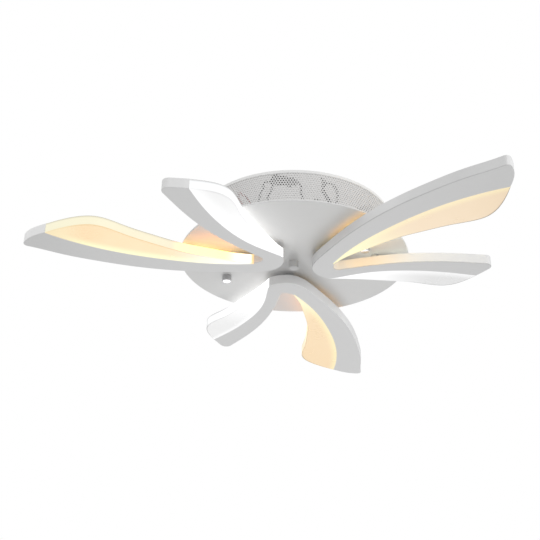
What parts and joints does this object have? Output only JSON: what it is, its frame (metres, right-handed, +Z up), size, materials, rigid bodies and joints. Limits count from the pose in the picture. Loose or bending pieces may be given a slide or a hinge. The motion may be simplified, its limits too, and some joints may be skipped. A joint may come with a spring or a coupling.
{
  "type": "led ceiling light",
  "caption": "Flush ceiling light: a round perforated canopy carries curved V-shaped arms in a pinwheel, each with a long warm and a short cool light-guide wing.",
  "frame": {"origin": "on the ceiling plane, midway between the two screw slots of the ceiling bracket, on the axis of the canopy", "axes": "+Z up into the ceiling; +X along the ceiling bracket, through both studs; +Y completes the right-handed frame"},
  "size_m": [0.5969, 0.5936, 0.0777],
  "materials": {
    "canopy_white": "satin",
    "arm_white": "satin",
    "acrylic_warm": "satin",
    "acrylic_cool": "satin",
    "led_warm": "matte",
    "led_cool": "matte",
    "bright_plate": "polished",
    "zinc_steel": "satin",
    "earth_brass": "satin",
    "driver_case": "matte",
    "terminal_nylon": "matte",
    "pad_foam": "matte",
    "lead_black": "matte",
    "lead_red": "matte"
  },
  "bodies": {
    "ceiling_mount": {"ceiling_bracket": "zinc_steel", "bracket_studs": "zinc_steel", "stud_lock_nuts": "zinc_steel", "earth_screw": "earth_brass"},
    "lamp_body": {"arm_frame_1": "arm_white", "arm_frame_2": "arm_white", "arm_frame_3": "arm_white", "arm_leads": "lead_black", "arm_posts": "zinc_steel", "arm_screws": "zinc_steel", "arm_spacers": "zinc_steel", "canopy_pan": "canopy_white", "centre_knob": "canopy_white", "centre_screw": "zinc_steel", "driver_cool": "driver_case", "driver_pads": "pad_foam", "driver_warm": "driver_case", "lead_driver_input": "lead_black", "lead_loop_left": "lead_black", "lead_loop_right": "lead_black", "lead_m_inner": "lead_black", "lead_m_left": "lead_black", "lead_m_right": "lead_black", "lead_plug": "lead_black", "lead_red": "lead_red", "lead_socket": "lead_black", "long_led_strip_1": "led_warm", "long_led_strip_2": "led_warm", "long_led_strip_3": "led_warm", "long_wing_1": "acrylic_warm", "long_wing_2": "acrylic_warm", "long_wing_3": "acrylic_warm", "perforated_band": "canopy_white", "post_collars": "zinc_steel", "post_nuts": "zinc_steel", "short_led_strip_1": "led_cool", "short_led_strip_2": "led_cool", "short_led_strip_3": "led_cool", "short_wing_1": "acrylic_cool", "short_wing_2": "acrylic_cool", "short_wing_3": "acrylic_cool", "strap_screws_1": "zinc_steel", "strap_screws_2": "zinc_steel", "strap_screws_3": "zinc_steel", "terminal_block": "terminal_nylon", "terminal_screws": "earth_brass", "top_rim_ring": "canopy_white", "wing_straps_1": "zinc_steel", "wing_straps_2": "zinc_steel", "wing_straps_3": "zinc_steel"},
    "cap_nut_left": {"cap_nut_1": "bright_plate"},
    "cap_nut_right": {"cap_nut_2": "bright_plate"}
  },
  "joints": [
    {"name": "canopy_drop", "type": "slide", "parent": "ceiling_mount", "child": "lamp_body", "axis": [0, 0, -1], "range_m": [0, 0.0056]},
    {"name": "cap_nut_left_turn", "type": "hinge", "parent": "lamp_body", "child": "cap_nut_left", "pos_m": [-0.1, 0, -0.06225], "axis": [0, 0, -1], "range_deg": [0, 2880]},
    {"name": "cap_nut_right_turn", "type": "hinge", "parent": "lamp_body", "child": "cap_nut_right", "pos_m": [0.1, 0, -0.06225], "axis": [0, 0, -1], "range_deg": [0, 2880]}
  ],
  "couplings": [
    {"joint": "cap_nut_left_turn", "follows": "canopy_drop", "rad_per_m": 8976},
    {"joint": "cap_nut_right_turn", "follows": "canopy_drop", "rad_per_m": 8976}
  ]
}
